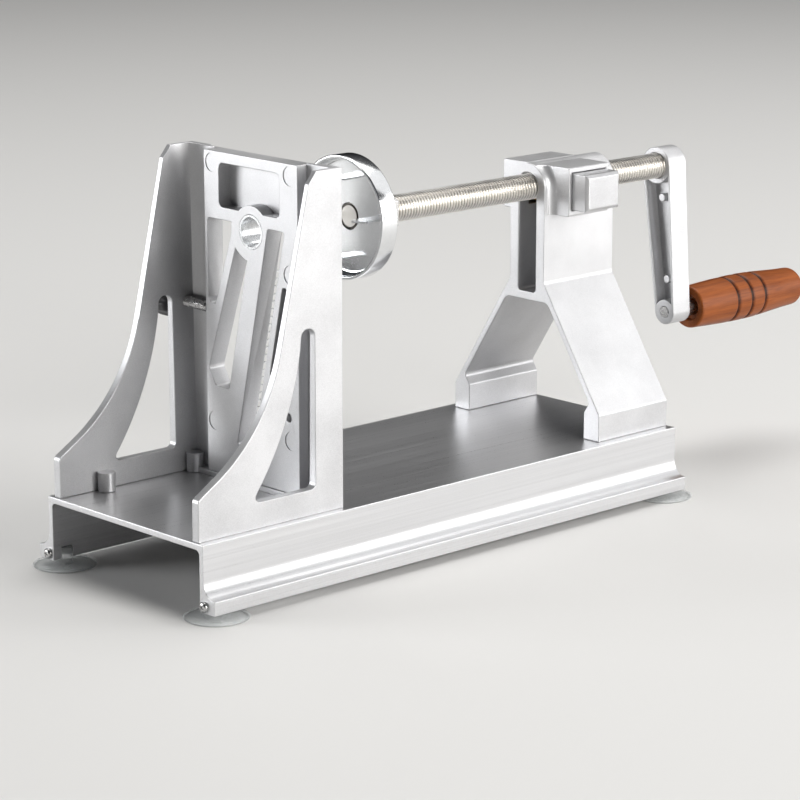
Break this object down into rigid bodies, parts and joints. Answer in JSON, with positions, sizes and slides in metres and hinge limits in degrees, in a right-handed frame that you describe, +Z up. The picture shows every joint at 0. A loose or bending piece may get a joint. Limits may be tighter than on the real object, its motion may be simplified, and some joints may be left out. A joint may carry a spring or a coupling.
{
  "type": "rotary vegetable shredder",
  "caption": "Hand-cranked rotary shredder: threaded rod drives a pusher cup towards an upright blade plate on a channel base with suction feet.",
  "frame": {"origin": "middle of the base's plan, on the table under the suction cups", "axes": "+X from the discharge end to the crank, +Y to the side of the lock knob, +Z up"},
  "size_m": [0.4944, 0.15, 0.205],
  "materials": {
    "anodised": "satin clear anodised extrusion",
    "casting": "fine silver powder coat over a die casting",
    "clear_vinyl": "clear, soft, glossy",
    "steel": "bright zinc-plated steel",
    "cutter_steel": "ground stainless steel",
    "chromed": "polished chrome",
    "bronze": "machined bronze",
    "knob_plastic": "matt black moulding",
    "button_metal": "satin die casting",
    "wood": "clear-lacquered brown hardwood"
  },
  "bodies": {
    "stand": {"base_channel": "anodised", "suction_cup_front_near": "clear_vinyl", "suction_cup_front_far": "clear_vinyl", "suction_cup_rear_near": "clear_vinyl", "suction_cup_rear_far": "clear_vinyl", "cup_screws": "steel", "blade_frame": "casting", "frame_screws": "steel", "rear_bracket": "casting", "bracket_screws": "steel", "release_spring": "steel"},
    "blade_insert": {"blade_plate": "casting", "coring_tube": "cutter_steel", "slicing_blade": "cutter_steel", "scoring_comb": "cutter_steel", "blade_screws": "steel"},
    "lock_shank": {"lock_screw": "steel"},
    "lock_grip": {"lock_knob": "knob_plastic"},
    "release": {"release_button": "button_metal", "half_nut": "bronze"},
    "carriage": {"loose_washer": "steel"},
    "drive": {"threaded_rod": "steel", "pusher_cup": "chromed", "pusher_prongs": "cutter_steel", "pusher_nut": "steel", "crank_arm": "casting", "crank_screw": "steel", "grip_spacer": "steel", "grip_bolt": "steel"},
    "grip": {"handle_grip": "wood"}
  },
  "joints": [
    {"name": "plate_lift", "type": "slide", "parent": "stand", "child": "blade_insert", "axis": [0, 0, 1], "range_m": [0, 0.165]},
    {"name": "lock_travel", "type": "slide", "parent": "stand", "child": "lock_shank", "axis": [0, 1, 0], "range_m": [0, 0.00401]},
    {"name": "lock_turn", "type": "hinge", "parent": "lock_shank", "child": "lock_grip", "pos_m": [-0.08035, 0.06, 0.1246], "axis": [0, 1, 0], "range_deg": [0, 1440]},
    {"name": "button_press", "type": "slide", "parent": "stand", "child": "release", "axis": [0, 1, 0], "range_m": [0, 0.0026], "stiffness_N_per_m": 600, "springref_m": -0.004, "deforming": ["release_spring"]},
    {"name": "rod_advance", "type": "slide", "parent": "stand", "child": "carriage", "axis": [1, 0, 0], "range_m": [-0.0401, 0.1001]},
    {"name": "crank_turn", "type": "hinge", "parent": "carriage", "child": "drive", "pos_m": [0, 0, 0.1672], "axis": [1, 0, 0], "range_deg": [-7200, 18000]},
    {"name": "grip_spin", "type": "hinge", "parent": "drive", "child": "grip", "pos_m": [0.2765, -0.00857, 0.08565], "axis": [1, 0, 0], "continuous": true}
  ],
  "couplings": [
    {"joint": "rod_advance", "follows": "crank_turn", "m_per_rad": 0.00031831},
    {"joint": "lock_travel", "follows": "lock_turn", "m_per_rad": 0.00015915}
  ]
}
